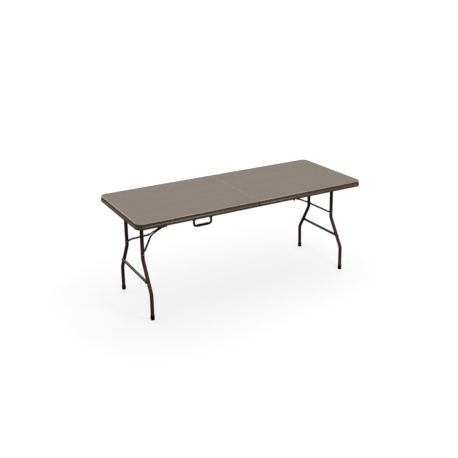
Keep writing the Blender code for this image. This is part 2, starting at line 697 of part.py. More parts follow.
def build_hinge_pins():
    """One riveted pin through the two leaves of each centre hinge."""
    for name, end in (("front", -1), ("back", 1)):
        outer = RAIL_WEB_Y
        inner = RAIL_WEB_Y - 2 * LEAF_THICKNESS - 3 * GAP
        low, high = sorted((end * inner, end * outer))
        rivet(f"{name}_hinge_pin", HINGE_PIN_RADIUS, low, high, "Y", None, (0, 0, SKIRT_BOTTOM))


def build_handle(half):
    """A moulded U handle that hangs on two brackets under the front rail. The left
    half's frame is turned round, so the table's front is its +Y side."""
    pivot_y = HALF_WIDTH - HANDLE_PIVOT_SETBACK
    place = (HANDLE_X, pivot_y, SKIRT_BOTTOM - HANDLE_PIVOT_DROP)
    swing = empty("handle_pivot", place, half)
    wide, drop = HANDLE_HALF_WIDTH, HANDLE_DROP
    inner = wide - HANDLE_ARM
    top = HANDLE_THICKNESS / 2
    curve, bend = HANDLE_OUTER_RADIUS, HANDLE_INNER_RADIUS
    outline = [(-wide, top)] + arc((-wide + curve, -drop + curve), curve, 180, 270, 6)
    outline += arc((wide - curve, -drop + curve), curve, 270, 360, 6) + [(wide, top), (inner, top)]
    low = -drop + HANDLE_GRIP + bend
    outline += arc((inner - bend, low), bend, 0, -90, 4)
    outline += arc((-inner + bend, low), bend, 270, 180, 4) + [(-inner, top)]
    handle = prism("carrying_handle", outline, -top, top, "Y", black_plastic(), swing)
    hole = cylinder("handle_hole", HANDLE_PIN_RADIUS + RUNNING, -2 * wide, 2 * wide, "X",
                    parent=swing, steps=SMALL_ROUND)
    soften = handle.modifiers.new("soft_edges", "BEVEL")
    soften.width = HANDLE_SOFT_EDGE
    soften.segments = 2
    soften.limit_method = "ANGLE"
    soften.angle_limit = math.radians(50)
    boolean(handle, cutter(hole))

    plate_top = RAIL_BOTTOM - GAP - place[2]
    plate_low = plate_top - EAR_PLATE_THICKNESS
    for label, end in (("left", 1), ("right", -1)):
        ear_out = end * (inner - GAP)
        ear_in = ear_out - end * EAR_THICKNESS
        plate_end = ear_out - end * EAR_PLATE_LENGTH
        ear_top = plate_low + GAP
        ear = arc((0, 0), EAR_RADIUS, 180, 360, 10) + [(EAR_RADIUS, ear_top), (-EAR_RADIUS, ear_top)]
        low, high = sorted((ear_in, ear_out))
        bracket = prism(f"{label}_handle_bracket", ear, low, high, "X", painted_steel(), half, place)
        low, high = sorted((plate_end, ear_out))
        plate = box(f"{label}_bracket_plate", (low, RAIL_INNER_Y - pivot_y, plate_low),
                    (high, EAR_RADIUS, plate_top), parent=half, location=place)
        boolean(bracket, cutter(plate), "UNION")
        bore = cylinder(f"{label}_bracket_bore", HANDLE_PIN_RADIUS + RUNNING, -2 * wide, 2 * wide,
                        "X", parent=half, location=place, steps=SMALL_ROUND)
        boolean(bracket, cutter(bore))
        low, high = sorted((ear_in - end * GAP, end * (wide + GAP)))
        rivet(f"{label}_handle_pin", HANDLE_PIN_RADIUS, low, high, "X", half, place)


def main():
    clear_scene()
    build_half("right", {-1: "front", 1: "back"}, 0.0)
    left = build_half("left", {-1: "back", 1: "front"}, math.pi)
    build_hinge_pins()
    build_handle(left)


main()
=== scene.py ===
"""The looks of a folding table: a blow-moulded top in two halves on folding steel legs.

Metres, +Z up, the floor at z = 0. The right half is modelled in its own place, with +X
outboard from the centre hinge, and the left half is the same shapes turned half a turn
about Z. The sizes below repeat the ones that the solid parts were made to. Pairs of sizes
are (inward, rise): how far a step goes in from the edge, and how far it goes up.
"""
import json
import math

import bmesh
import bpy
from mathutils import Matrix, Vector

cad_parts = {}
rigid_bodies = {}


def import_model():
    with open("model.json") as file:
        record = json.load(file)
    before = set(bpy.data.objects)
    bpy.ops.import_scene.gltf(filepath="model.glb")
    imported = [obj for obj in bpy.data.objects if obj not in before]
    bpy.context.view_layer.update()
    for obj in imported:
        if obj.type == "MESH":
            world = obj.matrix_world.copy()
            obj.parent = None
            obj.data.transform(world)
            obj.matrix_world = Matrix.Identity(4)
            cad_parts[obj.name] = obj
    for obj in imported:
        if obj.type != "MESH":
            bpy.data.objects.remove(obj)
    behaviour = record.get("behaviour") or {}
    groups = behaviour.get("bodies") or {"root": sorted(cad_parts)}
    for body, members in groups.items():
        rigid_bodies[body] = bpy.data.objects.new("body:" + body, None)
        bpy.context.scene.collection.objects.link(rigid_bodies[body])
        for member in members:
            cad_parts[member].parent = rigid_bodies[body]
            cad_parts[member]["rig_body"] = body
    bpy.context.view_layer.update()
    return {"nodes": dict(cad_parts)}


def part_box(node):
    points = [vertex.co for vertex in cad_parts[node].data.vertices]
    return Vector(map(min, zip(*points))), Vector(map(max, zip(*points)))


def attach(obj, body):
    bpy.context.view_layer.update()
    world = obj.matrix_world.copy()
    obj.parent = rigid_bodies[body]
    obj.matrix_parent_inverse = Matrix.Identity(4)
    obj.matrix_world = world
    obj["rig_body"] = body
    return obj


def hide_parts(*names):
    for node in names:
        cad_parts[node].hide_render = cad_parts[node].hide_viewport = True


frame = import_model()
NODES = frame["nodes"]

# Top
HALF_LENGTH = 0.900
HALF_WIDTH = 0.370
HEIGHT = 0.740
SKIRT_DEPTH = 0.042
SKIRT_BOTTOM = HEIGHT - SKIRT_DEPTH
CORNER_RADIUS = 0.050
ARRIS = 0.007
ARRIS_STEPS = 7
TOP_BORDER = 0.004
LIP = 0.003
LIP_HEIGHT = 0.016
LIP_LEDGE = ((0.0007, 0.0007), (0.0016, 0.0026), (0.0007, 0.0011))
LIP_ROUND = 0.0018
RIM_WIDTH = 0.007
RIM_BREAK = (0.0006, 0.0008)
CEILING_FILLET = ((0.0006, 0.0014), (0.0010, 0.0008))
CAVITY_TOP = 0.734
SEAM_GAP = 0.0006
SEAM_ARRIS = 0.0045
SEAM_MARGIN = 0.0015
NOTCH_HALF_WIDTH = 0.009
NOTCH_LENGTH = 0.012
NOTCH_HEIGHT = 0.009
OVERCUT = 0.005
HINGE_Y = 0.347

# Dimples under the top
DIMPLE_PITCH = 0.0245
DIMPLE_RIB = 0.0042
DIMPLE_SHOULDER = (0.0008, 0.0006)
DIMPLE_WALL = 0.0016
DIMPLE_DEPTH = 0.0030
DIMPLE_START = 0.012
DIMPLE_END = HALF_LENGTH - 0.010
DIMPLE_HALF_WIDTH = 0.3185
DIMPLE_LAST_X = HALF_LENGTH - 0.030
BRACE_BRACKET_X = 0.180
BRACE_BRACKET_CLEAR = (0.034, 0.036)

# Leg frames
RAIL_TOP = CAVITY_TOP - 0.0003
RAIL_BOTTOM = SKIRT_BOTTOM + 0.0055
LEG_PIVOT = Vector((0.789, 0.0, (RAIL_TOP + RAIL_BOTTOM) / 2))
LEG_LEAN = math.radians(1.0)
LEG_RADIUS = 0.013
LEG_TOP_Y = 0.148
LEG_TOP_DROP = 0.006
LEG_END_HEIGHT = 0.008
LEG_FOOT_Y = 0.275
UPPER_BEND_HEIGHT = 0.402
LOWER_BEND_HEIGHT = 0.187
BEND_RADIUS = 0.060
PIVOT_TUBE_RADIUS = 0.011
PIVOT_TUBE_END = 0.349
STUB_RADIUS = 0.007
STUB_LENGTH = 0.007
STUB_BREAK = 0.001
CROSSBAR_HEIGHT = 0.264
CROSSBAR_RADIUS = 0.010
CROSSBAR_OFFSET = 0.0105
CROSSBAR_END_GAP = 0.003
FOOT_RADIUS = 0.015
FOOT_LENGTH = 0.034
FOOT_WALL = 0.0017
FOOT_OVERLAP = 0.010

# Welds
CROSSBAR_WELD_INSET = 0.0105
CROSSBAR_WELD_RING = CROSSBAR_RADIUS + 0.0012
CROSSBAR_BEAD = 0.0019
CROSSBAR_WELD_RIPPLES = 14
LEG_WELD_DROP = PIVOT_TUBE_RADIUS + 0.0005
LEG_WELD_RING = LEG_RADIUS - 0.0002
LEG_BEAD = 0.0017
LEG_WELD_RIPPLES = 16

# Fixings
PIN_HEAD_THICKNESS = 0.0022
PIN_SHANK_SHARE = 0.58
SCREW_HEAD_RISE = 0.0025
SCREW_HEAD_CROWN = 0.0018
SCREW_RECESS = 0.0007

# Carrying handle
HANDLE_CENTRE = Vector((-0.433, -0.352, 0.690))
HANDLE_REACH = 0.0635
HANDLE_TOP = 0.0055
HANDLE_LOW = 0.0412
HANDLE_BEND = 0.0160
HANDLE_BAR = 0.0080
HANDLE_FLATTEN = 0.74
GRIP_END_GAP = 0.014
GRIP_SWELL = 0.0020
GRIP_RIPPLE = 0.0006
GRIP_RIPPLE_PITCH = 0.023
EYE_HALF_LENGTH = 0.0078
EYE_RADIUS = 0.0059
EYE_BREAK = 0.0010

FACETS = 40
SMALL_FACETS = 28
FOOT_FACETS = 36

# Camera
CAMERA_PLACE = (-2.2616, -4.0405, 2.2043)
CAMERA_YAW, CAMERA_PITCH, CAMERA_ROLL = (math.radians(angle) for angle in (28.793, -21.154, -1.084))
SENSOR_WIDTH = 36.0
LENS_LENGTH = 51.95555


# ---------------------------------------------------------------- materials

def linear(hex_code, alpha=1.0):
    """An sRGB hex colour as linear values."""
    parts = [int(hex_code[at:at + 2], 16) / 255 for at in (1, 3, 5)]
    return (*[p / 12.92 if p <= 0.04045 else ((p + 0.055) / 1.055) ** 2.4 for p in parts], alpha)


def add(tree, kind, settings=None, inputs=None):
    """Add one node, with its settings and with its inputs set or linked."""
    made = tree.nodes.new(kind)
    for name, value in (settings or {}).items():
        setattr(made, name, value)
    for name, value in (inputs or {}).items():
        if isinstance(value, bpy.types.NodeSocket):
            tree.links.new(value, made.inputs[name])
        else:
            made.inputs[name].default_value = value
    return made


def step_between(tree, value, off_at, full_at):
    """A smooth step that is 0 at one value and 1 at the other, whichever is higher."""
    low, high = min(off_at, full_at), max(off_at, full_at)
    return add(tree, "ShaderNodeMapRange", {"interpolation_type": "SMOOTHSTEP"}, {
        "Value": value, "From Min": low, "From Max": high,
        "To Min": float(off_at > full_at), "To Max": float(full_at > off_at)}).outputs[0]


def surface(name, metallic=0.0, ior=1.5):
    """An empty material with its shader and the place of the object's own metres."""
    made = bpy.data.materials.new(name)
    made.use_nodes = True
    tree = made.node_tree
    tree.nodes.clear()
    shader = add(tree, "ShaderNodeBsdfPrincipled", inputs={"Metallic": metallic, "IOR": ior})
    add(tree, "ShaderNodeOutputMaterial", inputs={"Surface": shader.outputs["BSDF"]})
    place = add(tree, "ShaderNodeTexCoord").outputs["Object"]
    return made, tree, shader, place


def blow_moulded_polyethylene():
    """High-density polyethylene blown into a grained mould: a satin taupe with a fine
    pebble grain, slow waves along the length where the wall cooled unevenly, arrises
    painted paler as a painted highlight that makes the seam and the rim read as thin light
    lines, and painted shade in the slot where the two skirts meet."""
    made, tree, shader, place = surface("blow_moulded_polyethylene", ior=1.54)
    # The waves are about half a metre long and 70 mm wide, the cloudy patches about 70 mm.
    along = add(tree, "ShaderNodeMapping", inputs={"Vector": place, "Scale": (0.9, 6.5, 6.5)})
    waves = add(tree, "ShaderNodeTexNoise", inputs={
        "Vector": along.outputs[0], "Scale": 2.2, "Detail": 2.0, "Roughness": 0.45})
    clouds = add(tree, "ShaderNodeTexNoise", inputs={
        "Vector": place, "Scale": 14.0, "Detail": 4.0, "Roughness": 0.6})
    # Mould grain 2.4 mm across, coarser than the real 0.8 mm so that it can be seen at all.
    grain = add(tree, "ShaderNodeTexVoronoi", {"feature": "SMOOTH_F1"}, {
        "Vector": place, "Scale": 1 / 0.0024, "Smoothness": 0.6})
    tone = add(tree, "ShaderNodeMix", {"data_type": "RGBA"}, {
        0: waves.outputs[0], 6: linear("#534635"), 7: linear("#615240")})
    patchy = add(tree, "ShaderNodeMix", {"data_type": "RGBA", "blend_type": "SOFT_LIGHT"}, {
        0: 0.22, 6: tone.outputs[2], 7: clouds.outputs[1]})
    # Painted highlight: the arrises near the top are painted paler, so that the seam and the rim
    # read as thin light lines. Painted shade: a dark band in the slot where the two skirts meet.
    facing = add(tree, "ShaderNodeTexCoord").outputs["Normal"]
    tilt = add(tree, "ShaderNodeSeparateXYZ", inputs={0: facing}).outputs["Z"]
    from_wall = step_between(tree, tilt, 0.25, 0.60)
    from_top = step_between(tree, tilt, 0.97, 0.80)
    arris = add(tree, "ShaderNodeMath", {"operation": "MULTIPLY"}, {0: from_wall, 1: from_top})
    split = add(tree, "ShaderNodeSeparateXYZ", inputs={0: place})
    upper = step_between(tree, split.outputs["Z"], HEIGHT - 0.010, HEIGHT - 0.006)
    painted_highlight_mask = add(tree, "ShaderNodeMath", {"operation": "MULTIPLY"}, {0: arris.outputs[0], 1: upper})
    # Painted highlight: the tilted arrises near the top are mixed towards a pale colour.
    pale = add(tree, "ShaderNodeMix", {"data_type": "RGBA"}, {
        0: painted_highlight_mask.outputs[0], 6: patchy.outputs[2], 7: linear("#9c8d7b")})
    # Painted shade: within about 4 mm of the seam plane and below the top, the colour is mixed
    # towards near-black, for the shade in the slot between the skirts.
    off = add(tree, "ShaderNodeMath", {"operation": "ABSOLUTE"}, {0: split.outputs["X"]})
    near = step_between(tree, off.outputs[0], 0.0042, 0.0024)
    low = step_between(tree, split.outputs["Z"], HEIGHT - 0.006, HEIGHT - 0.012)
    painted_seam_shade = add(tree, "ShaderNodeMath", {"operation": "MULTIPLY"}, {0: near, 1: low})
    shaded = add(tree, "ShaderNodeMix", {"data_type": "RGBA"}, {
        0: painted_seam_shade.outputs[0], 6: pale.outputs[2], 7: linear("#17130f")})
    tree.links.new(shaded.outputs[2], shader.inputs["Base Color"])
    gloss = add(tree, "ShaderNodeMapRange", inputs={
        "Value": waves.outputs[0], "From Min": 0.3, "From Max": 0.7, "To Min": 0.34, "To Max": 0.44})
    tree.links.new(gloss.outputs[0], shader.inputs["Roughness"])
    swell = add(tree, "ShaderNodeBump", inputs={
        "Height": waves.outputs[0], "Strength": 0.5, "Distance": 0.0020})
    pebble = add(tree, "ShaderNodeBump", inputs={
        "Height": grain.outputs[0], "Strength": 0.22, "Distance": 0.0004,
        "Normal": swell.outputs[0]})
    tree.links.new(pebble.outputs[0], shader.inputs["Normal"])
    return made


def powder_coated_steel(name, light, dark, rough):
    """Cold-rolled steel tube under a baked polyester powder coat: an even satin colour
    with the slight orange peel of the melted powder."""
    made, tree, shader, place = surface(name, ior=1.52)
    shader.inputs["Specular IOR Level"].default_value = 0.26
    # Orange peel about 2 mm across, and thicker or thinner coat over 40 mm.
    peel = add(tree, "ShaderNodeTexNoise", inputs={"Vector": place, "Scale": 1 / 0.0020,
                                                   "Detail": 2.0})
    coat = add(tree, "ShaderNodeTexNoise", inputs={"Vector": place, "Scale": 1 / 0.040,
                                                   "Detail": 3.0})
    tone = add(tree, "ShaderNodeMix", {"data_type": "RGBA"}, {
        0: coat.outputs[0], 6: linear(dark), 7: linear(light)})
    tree.links.new(tone.outputs[2], shader.inputs["Base Color"])
    gloss = add(tree, "ShaderNodeMapRange", inputs={
        "Value": coat.outputs[0], "From Min": 0.3, "From Max": 0.7,
        "To Min": rough - 0.05, "To Max": rough + 0.05})
    tree.links.new(gloss.outputs[0], shader.inputs["Roughness"])
    bump = add(tree, "ShaderNodeBump", inputs={
        "Height": peel.outputs[0], "Strength": 0.18, "Distance": 0.0003})
    tree.links.new(bump.outputs[0], shader.inputs["Normal"])
    return made


def zinc_plated_steel():
    """Steel fixings with a bright zinc plate: small silvery glints, a little uneven."""
    made, tree, shader, place = surface("zinc_plated_steel", metallic=0.6)
    bloom = add(tree, "ShaderNodeTexNoise", inputs={"Vector": place, "Scale": 1 / 0.0030,
                                                    "Detail": 3.0})
    tone = add(tree, "ShaderNodeMix", {"data_type": "RGBA"}, {
        0: bloom.outputs[0], 6: linear("#c6c7c7"), 7: linear("#eaebeb")})
    tree.links.new(tone.outputs[2], shader.inputs["Base Color"])
    gloss = add(tree, "ShaderNodeMapRange", inputs={
        "Value": bloom.outputs[0], "From Min": 0.3, "From Max": 0.7, "To Min": 0.22, "To Max": 0.36})
    tree.links.new(gloss.outputs[0], shader.inputs["Roughness"])
    return made


def black_moulding(name, colour, rough, grit, depth):
    """Injection-moulded black rubber or nylon: dull, with the fine grit of a spark-eroded
    mould and faint flow marks."""
    made, tree, shader, place = surface(name, ior=1.52)
    shader.inputs["Specular IOR Level"].default_value = 0.07
    spark = add(tree, "ShaderNodeTexNoise", inputs={"Vector": place, "Scale": 1 / grit,
                                                    "Detail": 3.0})
    flow = add(tree, "ShaderNodeTexNoise", inputs={"Vector": place, "Scale": 1 / 0.012,
                                                   "Detail": 2.0})
    tone = add(tree, "ShaderNodeMix", {"data_type": "RGBA"}, {
        0: flow.outputs[0], 6: linear(colour[0]), 7: linear(colour[1])})
    tree.links.new(tone.outputs[2], shader.inputs["Base Color"])
    gloss = add(tree, "ShaderNodeMapRange", inputs={
        "Value": flow.outputs[0], "From Min": 0.3, "From Max": 0.7,
        "To Min": rough - 0.06, "To Max": rough + 0.06})
    tree.links.new(gloss.outputs[0], shader.inputs["Roughness"])
    bump = add(tree, "ShaderNodeBump", inputs={
        "Height": spark.outputs[0], "Strength": 0.3, "Distance": depth})
    tree.links.new(bump.outputs[0], shader.inputs["Normal"])
    return made


POLYETHYLENE = blow_moulded_polyethylene()
BROWN_STEEL = powder_coated_steel("brown_powder_coated_steel", "#67402f", "#523225", 0.32)
GREY_STEEL = powder_coated_steel("grey_powder_coated_steel", "#37352f", "#2b2925", 0.36)
ZINC = zinc_plated_steel()
RUBBER = black_moulding("moulded_black_rubber", ("#0d0c0b", "#171513"), 0.62, 0.0011, 0.0003)
NYLON = black_moulding("moulded_black_nylon", ("#0e0e0e", "#191918"), 0.42, 0.0009, 0.0002)


# ---------------------------------------------------------------- shaping

def piece(bm, name, finish, body, stands_for=(), place=None, crease=35.0):
    """Turn a bmesh into a finished piece that rides on a body."""
    if place is not None:
        bmesh.ops.transform(bm, matrix=place, verts=bm.verts)
    bmesh.ops.remove_doubles(bm, verts=bm.verts, dist=1e-6)
    bmesh.ops.recalc_face_normals(bm, faces=bm.faces)
    mesh = bpy.data.meshes.new(name)
    bm.to_mesh(mesh)
    bm.free()
    mesh.materials.append(finish)
    mesh.shade_smooth()
    mesh.set_sharp_from_angle(angle=math.radians(crease))
    made = bpy.data.objects.new(name, mesh)
    bpy.context.scene.collection.objects.link(made)
    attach(made, body)
    if stands_for:
        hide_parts(*stands_for)
    return made


def ease(bm, width, segments=2, sharper_than=35.0):
    """Round every edge that is sharper than an angle in degrees."""
    limit = math.radians(sharper_than)
    sharp = [edge for edge in bm.edges
             if len(edge.link_faces) == 2 and edge.calc_face_angle(0.0) > limit]
    bmesh.ops.bevel(bm, geom=sharp, offset=width, offset_type="OFFSET", segments=segments,
                    profile=0.5, affect="EDGES", clamp_overlap=True, material=-1)


def eased_part(node, suffix, finish, width, segments=2):
    """A part made to its solid's shape, with the edges rounded as pressing leaves them."""
    bm = bmesh.new()
    bm.from_mesh(NODES[node].data)
    bmesh.ops.remove_doubles(bm, verts=bm.verts, dist=2e-6)
    bmesh.ops.dissolve_limit(bm, angle_limit=math.radians(1.0), verts=bm.verts, edges=bm.edges)
    ease(bm, width, segments)
    return piece(bm, f"{node}_{suffix}", finish, NODES[node]["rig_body"], [node])


def turned_part(profile, place, steps=FACETS):
    """Spin a profile of (radius, height) round +Z, then put it in its place."""
    bm = bmesh.new()
    verts = [bm.verts.new((radius, 0.0, height)) for radius, height in profile]
    edges = [bm.edges.new(pair) for pair in zip(verts, verts[1:])]
    bmesh.ops.spin(bm, geom=verts + edges, cent=(0, 0, 0), axis=(0, 0, 1),
                   angle=2 * math.pi, steps=steps, use_merge=True)
    bmesh.ops.remove_doubles(bm, verts=bm.verts, dist=1e-6)
    bmesh.ops.transform(bm, matrix=place, verts=bm.verts)
    return bm


def pushed(bm, edges, move):
    """Extrude a loop of edges and move the new loop."""
    grown = bmesh.ops.extrude_edge_only(bm, edges=edges)["geom"]
    verts = [item for item in grown if isinstance(item, bmesh.types.BMVert)]
    bmesh.ops.translate(bm, verts=verts, vec=move)
    return [item for item in grown if isinstance(item, bmesh.types.BMEdge)
            and all(vert in verts for vert in item.verts)]


def bent_tube(bm, corners, radius, bend, facets=FACETS, bend_steps=10, stretch=(1, 1)):
    """A round tube along straight runs, with each corner spun as a mandrel bends it."""
    points = [Vector(corner) for corner in corners]
    ahead = (points[1] - points[0]).normalized()
    face_on = Matrix.Translation(points[0]) @ ahead.to_track_quat("Z", "Y").to_matrix().to_4x4()
    squeeze = Matrix.Diagonal((stretch[0], stretch[1], 1.0, 1.0))
    start = bmesh.ops.create_circle(bm, cap_ends=False, radius=radius, segments=facets,
                                    matrix=face_on @ squeeze)
    edges = list({edge for vert in start["verts"] for edge in vert.link_edges})
    first = edges
    reached = points[0]
    for before, corner, after in zip(points, points[1:], points[2:]):
        back = (before - corner).normalized()
        onward = (after - corner).normalized()
        half = back.angle(onward) / 2
        reach = bend / math.tan(half)
        edges = pushed(bm, edges, corner + back * reach - reached)
        ring = list({vert for edge in edges for vert in edge.verts}) + edges
        spun = bmesh.ops.spin(bm, geom=ring, cent=corner + (back + onward).normalized()
                              * (bend / math.sin(half)), axis=(-back).cross(onward).normalized(),
                              angle=math.pi - 2 * half, steps=bend_steps, use_merge=False)
        edges = [item for item in spun["geom_last"] if isinstance(item, bmesh.types.BMEdge)]
        reached = corner + onward * reach
    edges = pushed(bm, edges, points[-1] - reached)
    bmesh.ops.edgeloop_fill(bm, edges=first)
    bmesh.ops.edgeloop_fill(bm, edges=edges)
    return bm


def weld_bead(bm, place, ring, bead, ripples):
    """A fillet weld: a small round spun into a ring, then rippled as the pool froze."""
    section = bmesh.ops.create_circle(bm, cap_ends=False, radius=bead, segments=8,
                                      matrix=Matrix.Translation((ring, 0, 0))
                                      @ Matrix.Rotation(math.pi / 2, 4, "X"))
    edges = list({edge for vert in section["verts"] for edge in vert.link_edges})
    before = set(bm.verts) - set(section["verts"])
    bmesh.ops.spin(bm, geom=section["verts"] + edges, cent=(0, 0, 0), axis=(0, 0, 1),
                   angle=2 * math.pi, steps=ripples * 3, use_merge=True)
    fresh = [vert for vert in bm.verts if vert not in before]
    for vert in fresh:
        angle = math.atan2(vert.co.y, vert.co.x)
        vert.co.z *= 1.0 + 0.22 * math.cos(ripples * angle)
    bmesh.ops.transform(bm, matrix=place, verts=fresh)


# ---------------------------------------------------------------- the moulded top

def slab():
    """The whole top as one closed slab, shaped from the bottom edge up to the arris."""
    bm = bmesh.new()
    bmesh.ops.create_grid(bm, x_segments=1, y_segments=1, size=1.0)
    bmesh.ops.scale(bm, vec=(HALF_LENGTH, HALF_WIDTH, 1.0), verts=bm.verts)
    bmesh.ops.translate(bm, vec=(0, 0, SKIRT_BOTTOM), verts=bm.verts)
    bmesh.ops.bevel(bm, geom=list(bm.verts), offset=CORNER_RADIUS, offset_type="OFFSET",
                    segments=14, profile=0.5, affect="VERTICES", clamp_overlap=True, material=-1)
    base = bm.faces[:][0]
    grown = bmesh.ops.extrude_face_region(bm, geom=[base])["geom"]
    top = [item for item in grown if isinstance(item, bmesh.types.BMFace)][0]
    rim_edges = list(base.edges)
    bmesh.ops.translate(bm, vec=(0, 0, LIP_HEIGHT), verts=top.verts)
    bmesh.ops.recalc_face_normals(bm, faces=bm.faces)
    steps = list(LIP_LEDGE)
    rise = sum(up for _, up in steps)
    straight = SKIRT_DEPTH - LIP_HEIGHT - rise - ARRIS
    steps += [(0.0, straight / 2), (0.0, straight / 2)]
    for step in range(ARRIS_STEPS):
        a, b = (math.pi / 2 * (step + more) / ARRIS_STEPS for more in (0, 1))
        steps.append((ARRIS * (math.cos(a) - math.cos(b)), ARRIS * (math.sin(b) - math.sin(a))))
    steps += [(TOP_BORDER, 0.0)]
    for inward, up in steps:
        bmesh.ops.inset_region(bm, faces=[top], thickness=inward, depth=up,
                               use_even_offset=True, use_boundary=True)
    bmesh.ops.bevel(bm, geom=rim_edges, offset=LIP_ROUND, offset_type="OFFSET", segments=3,
                    profile=0.5, affect="EDGES", clamp_overlap=True, material=-1)
    return bm


def lowest_face(bm):
    """The largest face that looks down."""
    return max((face for face in bm.faces if face.normal.z < -0.9), key=lambda f: f.calc_area())


def moulded_half(side, turn):
    """One half of the top, cut from the slab, hollowed, and dimpled where the blown walls
    are pressed together."""
    bm = slab()
    cut = bmesh.ops.bisect_plane(bm, geom=bm.verts[:] + bm.edges[:] + bm.faces[:], dist=1e-6,
                                 plane_co=(SEAM_GAP / 2, 0, 0), plane_no=(1, 0, 0),
                                 clear_inner=True)
    seam = [item for item in cut["geom_cut"] if isinstance(item, bmesh.types.BMEdge)]
    bmesh.ops.edgeloop_fill(bm, edges=seam)
    bmesh.ops.recalc_face_normals(bm, faces=bm.faces)
    upright = [edge for edge in seam if edge.is_valid
               and all(abs(vert.co.y) > HALF_WIDTH - ARRIS - LIP - SEAM_MARGIN
                       for vert in edge.verts)]
    flat = [edge for edge in seam if edge.is_valid and edge not in upright
            and all(vert.co.z > HEIGHT - ARRIS for vert in edge.verts)]
    bmesh.ops.bevel(bm, geom=flat + upright, offset=SEAM_ARRIS, offset_type="OFFSET",
                    segments=4, profile=0.5, affect="EDGES", clamp_overlap=True, material=-1)

    under = lowest_face(bm)
    bmesh.ops.inset_region(bm, faces=[under], thickness=RIM_WIDTH, depth=0.0,
                           use_even_offset=True, use_boundary=True)
    rounds = sum(rise for _, rise in (RIM_BREAK, *CEILING_FILLET))
    wall = (0.0, CAVITY_TOP - SKIRT_BOTTOM - rounds)
    for inward, rise in (RIM_BREAK, wall, *CEILING_FILLET):
        bmesh.ops.inset_region(bm, faces=[under], thickness=inward, depth=-rise,
                               use_even_offset=True, use_boundary=True)
    press_dimples(bm, under)
    shell = piece(bm, f"{side}_moulded_half", POLYETHYLENE, f"{side}_half",
                  [f"{side}_top_panel"],
                  Matrix.Rotation(turn, 4, "Z"))
    for end in (-1, 1):
        cut_notch(shell, side, end, turn)
    return shell


def press_dimples(bm, ceiling):
    """Score the ceiling into squares and press each whole square up."""
    patch = [ceiling]
    spans = ((0, DIMPLE_START, DIMPLE_END), (1, -DIMPLE_HALF_WIDTH, DIMPLE_HALF_WIDTH))
    for axis, low, high in spans:
        lines = int((high - low) / DIMPLE_PITCH)
        normal = (1, 0, 0) if axis == 0 else (0, 1, 0)
        for line in range(lines + 1):
            at = low + (high - low) * line / lines
            geom = {item for face in patch for item in (face, *face.edges, *face.verts)}
            cut = bmesh.ops.bisect_plane(bm, geom=list(geom), dist=1e-6,
                                         plane_co=[n * at for n in normal], plane_no=normal)
            patch = [item for item in cut["geom"] if isinstance(item, bmesh.types.BMFace)]
    almost_whole = DIMPLE_PITCH ** 2 * 0.95
    clear_x, clear_y = BRACE_BRACKET_CLEAR
    cells = []
    for face in patch:
        middle = face.calc_center_median()
        by_bracket = abs(middle.x - BRACE_BRACKET_X) < clear_x and abs(middle.y) < clear_y
        in_field = abs(middle.y) < DIMPLE_HALF_WIDTH and middle.x < DIMPLE_LAST_X
        square = len(face.verts) == 4 and face.calc_area() > almost_whole
        if square and in_field and not by_bracket:
            cells.append(face)
    shoulder, drop = DIMPLE_SHOULDER
    for inward, rise in ((DIMPLE_RIB, 0.0), (shoulder, drop), (DIMPLE_WALL, DIMPLE_DEPTH - drop)):
        bmesh.ops.inset_individual(bm, faces=cells, thickness=inward, depth=-rise,
                                   use_even_offset=True)


def cut_notch(shell, side, end, turn):
    """Open the skirt at the seam, where the hinge knuckles turn."""
    bm = bmesh.new()
    low = SKIRT_BOTTOM - OVERCUT
    high = SKIRT_BOTTOM + NOTCH_HEIGHT
    block = (Matrix.Rotation(turn, 4, "Z")
             @ Matrix.Translation(((NOTCH_LENGTH - OVERCUT) / 2, end * HINGE_Y, (low + high) / 2))
             @ Matrix.Diagonal((NOTCH_LENGTH + OVERCUT, 2 * NOTCH_HALF_WIDTH, high - low, 1.0)))
    bmesh.ops.create_cube(bm, size=1.0, matrix=block)
    mesh = bpy.data.meshes.new(f"{side}_notch")
    bm.to_mesh(mesh)
    bm.free()
    tool = bpy.data.objects.new(f"{side}_notch", mesh)
    bpy.context.scene.collection.objects.link(tool)
    step = shell.modifiers.new("notch", "BOOLEAN")
    step.operation = "DIFFERENCE"
    step.solver = "EXACT"
    step.object = tool
    bpy.context.view_layer.update()
    drawn = shell.evaluated_get(bpy.context.evaluated_depsgraph_get())
    opened = bpy.data.meshes.new_from_object(drawn)
    shell.modifiers.clear()
    shell.data = opened
    bpy.data.objects.remove(tool)


# ---------------------------------------------------------------- leg frames

def down(height):
    """Where a height above the floor falls on a leg, in the leg frame."""
    return -(LEG_PIVOT.z - height) / math.cos(LEG_LEAN)


